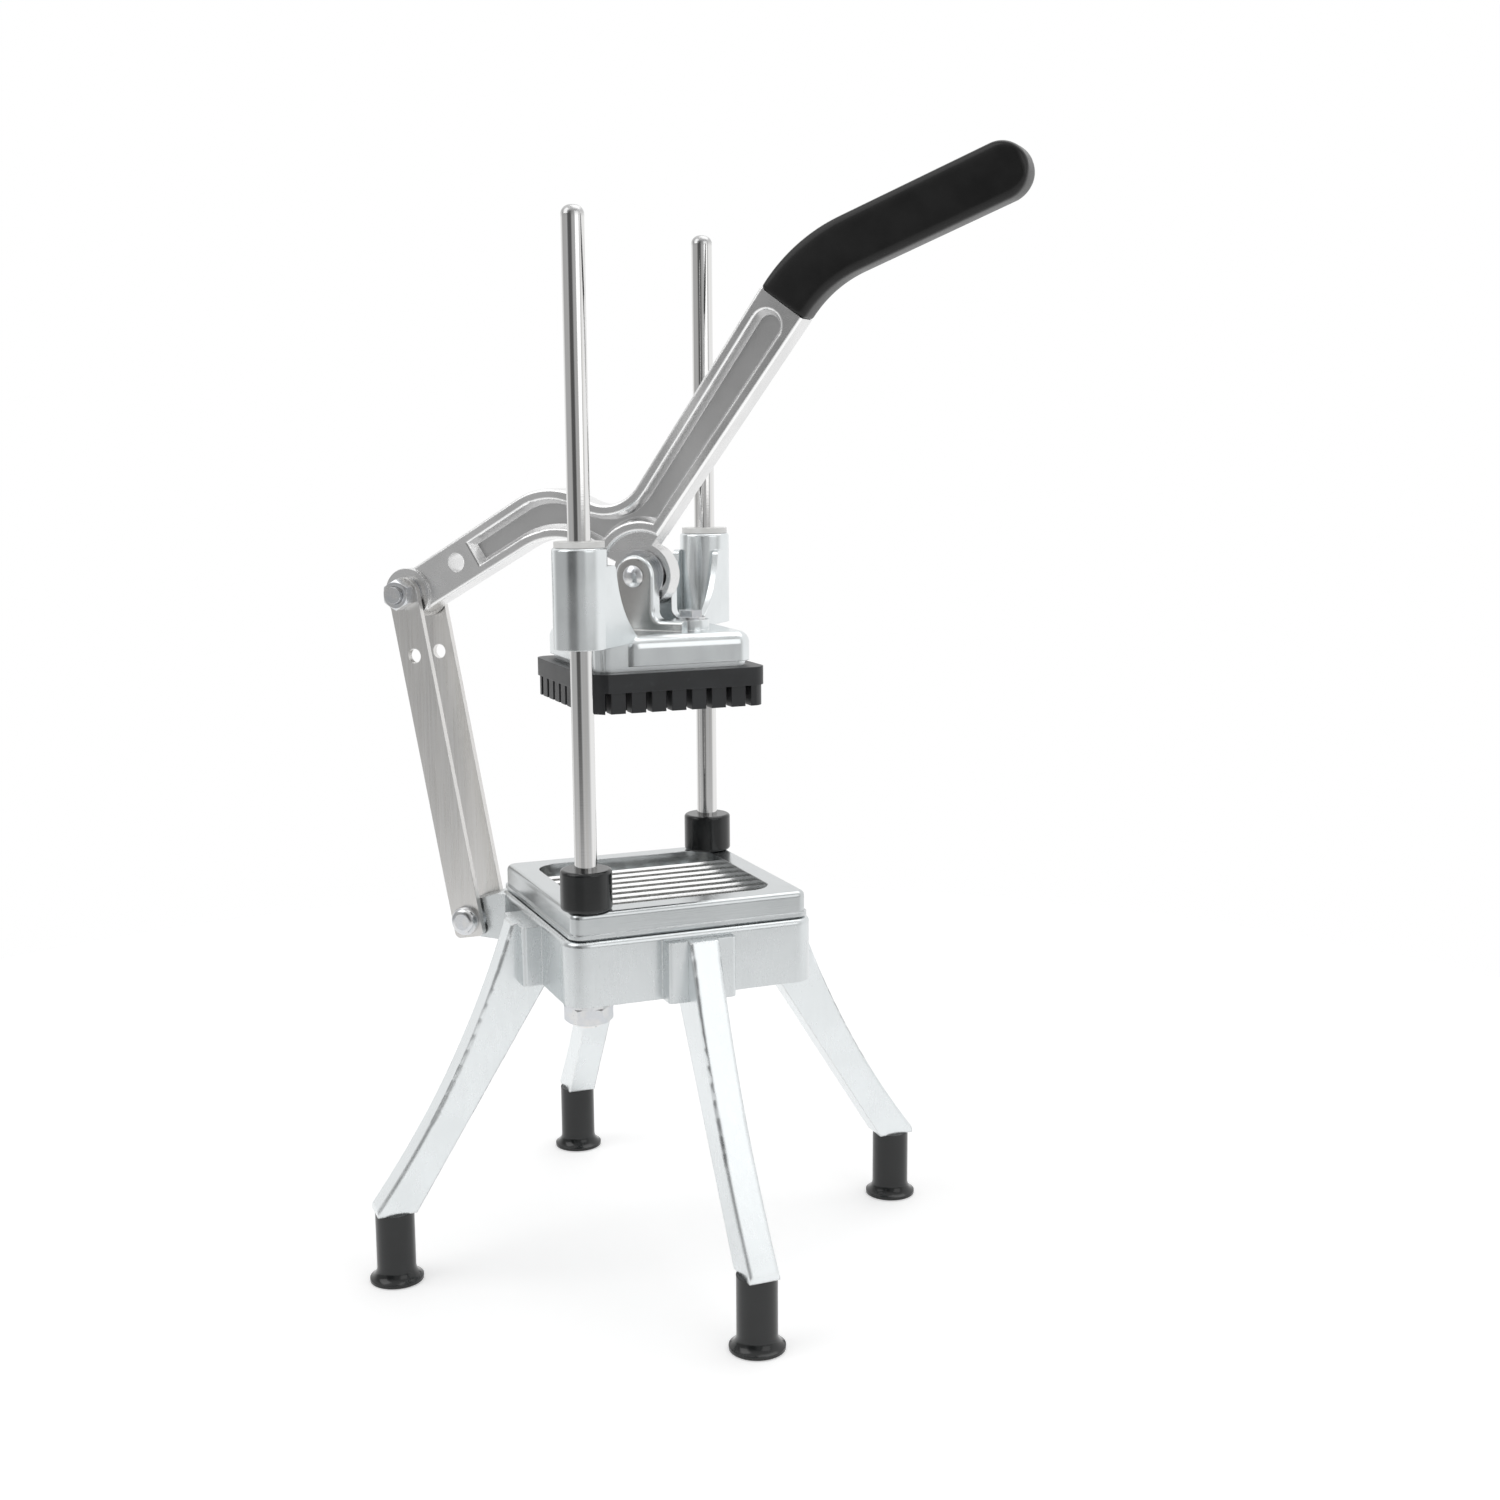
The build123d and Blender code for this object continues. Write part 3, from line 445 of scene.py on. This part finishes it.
GRIP_START = np.array([69.811, 441.565]) * MM
GRIP_CORNER = np.array([82.004, 458.498]) * MM
GRIP_TIP = np.array([165.9, 491.5]) * MM
GRIP_BEND = 66.0 * MM
GRIP_HALF = 12.3 * MM
GRIP_SIDE = 7.5 * MM
GRIP_EDGE = 3.5 * MM
MOUTH_ROLL = 1.6 * MM
LIP_SHARE = 0.7
SQUARENESS = 6.0
MOUTH_ROWS = 8
BODY_ROWS = 90
NOSE_ROWS = 26
GRIP_COLUMNS = 64


def squared_off(wave):
    """A cosine or sine as a superellipse has it."""
    return np.sign(wave) * np.abs(wave) ** (2 / SQUARENESS)


def grip_surface():
    """The heading falls evenly round the bend. Across it, a superellipse with half sizes a and b: a and b
    shrink on a quarter circle at the mouth; at the nose a follows a half circle and b an edge rounding."""
    first, second = GRIP_CORNER - GRIP_START, GRIP_TIP - GRIP_CORNER
    heading, last_heading = (np.arctan2(run[1], run[0]) for run in (first, second))
    bend = heading - last_heading
    tangent = GRIP_BEND * tan(bend / 2)
    straight = np.linalg.norm(first) - tangent
    length = straight + GRIP_BEND * bend + np.linalg.norm(second) - tangent

    mouth = MOUTH_ROLL * (1 - np.cos(np.linspace(0.0, QUARTER_TURN, MOUTH_ROWS)))[:-1]
    body = np.linspace(0.0, length, BODY_ROWS)
    nose = length + GRIP_HALF * np.sin(np.linspace(0.0, QUARTER_TURN, NOSE_ROWS)[1:-1])
    along = np.concatenate([mouth, body[body > MOUTH_ROLL], nose])
    turn = heading - np.clip((along - straight) / GRIP_BEND, 0.0, bend)
    step = np.diff(along, prepend=0.0)
    middle_turn = np.concatenate([turn[:1], (turn[1:] + turn[:-1]) / 2])
    x = GRIP_START[0] + np.cumsum(np.cos(middle_turn) * step)
    z = GRIP_START[1] + np.cumsum(np.sin(middle_turn) * step)

    roll = np.clip(1 - along / MOUTH_ROLL, 0.0, 1.0)
    lip = MOUTH_ROLL * (1 - np.sqrt(1 - roll ** 2)) * LIP_SHARE
    past = np.clip(along - length, 0.0, GRIP_HALF)
    half = np.sqrt(GRIP_HALF ** 2 - past ** 2) - lip
    over = np.clip(past - GRIP_HALF + GRIP_EDGE, 0.0, GRIP_EDGE)
    side = GRIP_SIDE - GRIP_EDGE + np.sqrt(GRIP_EDGE ** 2 - over ** 2) - lip

    angle = round_angles(GRIP_COLUMNS)
    up = np.outer(half, squared_off(np.cos(angle)))
    deep = np.outer(side, squared_off(np.sin(angle)))
    return np.stack([x[:, None] - np.sin(turn)[:, None] * up, deep,
                     z[:, None] + np.cos(turn)[:, None] * up], axis=-1)


soft_grip = surface("soft_grip", [shell(grip_surface(), start=True, end=True)], vinyl, sharp=60.0)
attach(soft_grip, "handle")
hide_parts("handle_grip")


# Nuts and the pin, turned about their axes

HEX_COLUMNS = 96
HEX_SPAN = radians(60.0)
HEX_CHAMFER = radians(30.0)
FACE_SHARE = 0.96
LEAD_SHARE = 0.12
ROD_RADIUS = 5.0 * MM
ROD_REACH = 66.299 * MM
ROD_NUT_FLATS = 19.0 * MM
ROD_NUT_HEIGHT = 8.0 * MM
PIVOT_NUT_FLATS = 13.0 * MM
PIVOT_NUT_HEIGHT = 6.5 * MM
PIN_RADIUS = 4.0 * MM
PIN_LENGTH = 31.2 * MM
PIN_HEIGHT = 322.0 * MM
PIN_CHAMFER = 0.6 * MM
PIN_COLUMNS = 64
HEAD_RADIUS = 5.0 * MM
HEAD_HEIGHT = 2.6 * MM
HEAD_EDGE = 0.7 * MM
DOME_ROWS = 16


def hex_nut(flats, height, bore, middle, axis, across):
    """Nut that stands on its middle, along its axis: the hexagon's radius is flats / 2 over the cosine of the
    angle from the middle of a flat. Cones cut it at both ends, from a circle just inside the flats."""
    angle = round_angles(HEX_COLUMNS)
    hexagon = flats / 2 / np.cos((angle + HEX_SPAN / 2) % HEX_SPAN - HEX_SPAN / 2)
    face = FACE_SHARE * flats / 2
    depth = (hexagon - face) * tan(HEX_CHAMFER)
    sink = bore * LEAD_SHARE
    lead = bore + sink
    profile = [(sink, bore), (0.0, lead), (0.0, face), (depth, hexagon),
               (height - depth, hexagon), (height, face), (height, lead), (height - sink, bore)]
    return shell(turned(profile, HEX_COLUMNS, middle, axis, across), ring=True)


def domed_pin(tail, axis, across):
    """Pin from a chamfered tail to a head: the head's edge is a short cylinder, and its top part of a sphere
    with radius = (head radius squared + cap squared) / (2 * cap)."""
    cap = HEAD_HEIGHT - HEAD_EDGE
    ball = (HEAD_RADIUS ** 2 + cap ** 2) / (2 * cap)
    up = np.linspace(0.0, cap, DOME_ROWS)[1:-1]
    dome = np.sqrt(ball ** 2 - (ball - cap + up) ** 2)
    profile = [(0.0, PIN_RADIUS - PIN_CHAMFER), (PIN_CHAMFER, PIN_RADIUS), (PIN_LENGTH, PIN_RADIUS),
               (PIN_LENGTH, HEAD_RADIUS), (PIN_LENGTH + HEAD_EDGE, HEAD_RADIUS),
               *zip(PIN_LENGTH + HEAD_EDGE + up, dome)]
    return shell(turned(profile, PIN_COLUMNS, tail, axis, across), start=True, end=True)


def fasten(name, shells, body, replaced):
    piece = surface(name, shells, zinc, sharp=28.0)
    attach(piece, body)
    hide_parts(replaced)


rod_nut_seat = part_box("rod_nuts")[0][2]
fasten("rod_hex_nuts",
       [hex_nut(ROD_NUT_FLATS, ROD_NUT_HEIGHT, ROD_RADIUS, (0.0, reach, rod_nut_seat), Z_AXIS, X_AXIS)
        for reach in (-ROD_REACH, ROD_REACH)], "base", "rod_nuts")
for body in ("base", "link"):
    low_corner, high_corner = (np.array(corner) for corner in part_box(f"{body}_pivot_nut"))
    seat = (low_corner + high_corner) / 2
    seat[1] = low_corner[1]
    fasten(f"{body}_pivot_hex_nut",
           [hex_nut(PIVOT_NUT_FLATS, PIVOT_NUT_HEIGHT, PIN_RADIUS, seat, Y_AXIS, X_AXIS)],
           body, f"{body}_pivot_nut")
pin_tail = (0.0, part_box("handle_pin")[0][1] + HEAD_HEIGHT + PIN_LENGTH, PIN_HEIGHT)
fasten("handle_pivot_pin", [domed_pin(pin_tail, NEAR_SIDE, X_AXIS)], "head", "handle_pin")


# Camera at the photograph's place

EYE = Vector((373.99, -778.78, 382.91)) * MM
LOOK = Vector((-0.37774, 0.91125, -0.16415))
RIGHT = Vector((0.92413, 0.38202, -0.00589))
UP = Vector((-0.05734, 0.15392, 0.98642))
FOCAL_PIXELS = 1862.77
PHOTO_PIXELS = 1500.0
SENSOR = 36.0

lens = bpy.data.cameras.new("camera")
lens.sensor_width = SENSOR
lens.lens = FOCAL_PIXELS / PHOTO_PIXELS * SENSOR
lens.clip_start = 10.0 * MM
camera = bpy.data.objects.new("camera", lens)
camera.matrix_world = Matrix.Translation(EYE) @ Matrix((RIGHT, UP, -LOOK)).transposed().to_4x4()
scene.collection.objects.link(camera)
scene.camera = camera


# Studio: soft panels, a white world that looks like a room in reflections, and a pale round floor

PANEL_TARGET = Vector((0.0, 0.0, 0.25))
DARK_HEADING = Vector((-0.052, -0.9986))
DARK_SPREAD = (cos(radians(27.0)), cos(radians(10.0)))
DARK_TOP = (0.4, 0.75)
BACKDROP_SPAN = (-0.15, 0.35)
CEILING_SPAN = (0.6, 0.9)
TABLE_SPAN = (-0.34, -0.13)
LEAST_RUN = 0.0001
WALL = 0.46
BACKDROP = 0.54
BRIGHTER = 0.4
DARKER = 0.36
EVEN_LIGHT = 0.5
FLOOR_RADIUS = 0.72
FLOOR_DROP = 0.5 * MM
FLOOR_GLOW = 0.42
FLOOR_RINGS = 12
FIRST_RING = 0.05
FLOOR_COLUMNS = 96


def soft_panel(name, place, side, radiance):
    lamp = bpy.data.lights.new(name, "AREA")
    lamp.size = side
    lamp.energy = radiance * pi * side ** 2
    panel = bpy.data.objects.new(name, lamp)
    panel.location = place
    panel.rotation_euler = (PANEL_TARGET - Vector(place)).to_track_quat("-Z", "Y").to_euler()
    panel.visible_camera = False
    scene.collection.objects.link(panel)


def studio_world():
    """White for the camera. Reflections see a bright backdrop, ceiling and table and grey walls, with a dark
    strip behind the camera. All other light is an even grey."""
    finish = Finish(bpy.data.worlds.new("studio"))
    scene.world = finish.owner
    ray = finish.source("ShaderNodeTexCoord", "Generated")
    x, y, z = (finish.axis(name, ray) for name in "XYZ")
    level_run = (x * x + y * y).root() + LEAST_RUN
    towards_dark = (x * DARK_HEADING.x + y * DARK_HEADING.y) / level_run
    strip = towards_dark.rise(*DARK_SPREAD) * z.fall(*DARK_TOP)
    backdrop = y.rise(*BACKDROP_SPAN)
    ceiling = z.rise(*CEILING_SPAN)
    table = z.fall(*TABLE_SPAN)
    mirrored = WALL + backdrop * BACKDROP + (ceiling + table) * (1.0 - backdrop) * BRIGHTER
    mirrored = mirrored - strip * (1.0 - table) * DARKER
    seen = finish.rays("Camera", "Transmission")
    glossy = finish.rays("Glossy")
    strength = seen + (1.0 - seen) * (glossy * mirrored + (1.0 - glossy) * EVEN_LIGHT)
    finish.feed(finish.tree.nodes["Background"], {"Color": grey(1.0), "Strength": strength})
    finish.owner.cycles.sampling_method = "NONE"


def floor_disc():
    """A flat disc just under the feet: rings of points round the middle. It glows where it is seen."""
    finish = new_finish("floor_finish")
    glow = finish.rays("Camera", "Glossy", "Transmission") * FLOOR_GLOW
    settle(finish, Base_Color=grey(0.8), Roughness=0.7, Emission_Strength=1.0,
           Emission_Color=finish.blend(glow, grey(0.0), grey(1.0)))
    profile = [(-FLOOR_DROP, ring * FLOOR_RADIUS) for ring in np.linspace(FIRST_RING, 1.0, FLOOR_RINGS)]
    points = turned(profile, FLOOR_COLUMNS, (0.0, 0.0, 0.0), Z_AXIS, X_AXIS)
    disc = surface("floor", [shell(points, start=True)], finish.owner)


soft_panel("key_panel", (-1.2, -1.1, 1.7), side=1.5, radiance=1.5)
soft_panel("fill_panel", (1.7, -0.7, 0.9), side=1.3, radiance=0.9)
soft_panel("top_panel", (0.3, 0.6, 2.0), side=1.6, radiance=1.1)
studio_world()
floor_disc()

scene.view_settings.view_transform = "Standard"

bpy.context.view_layer.update()
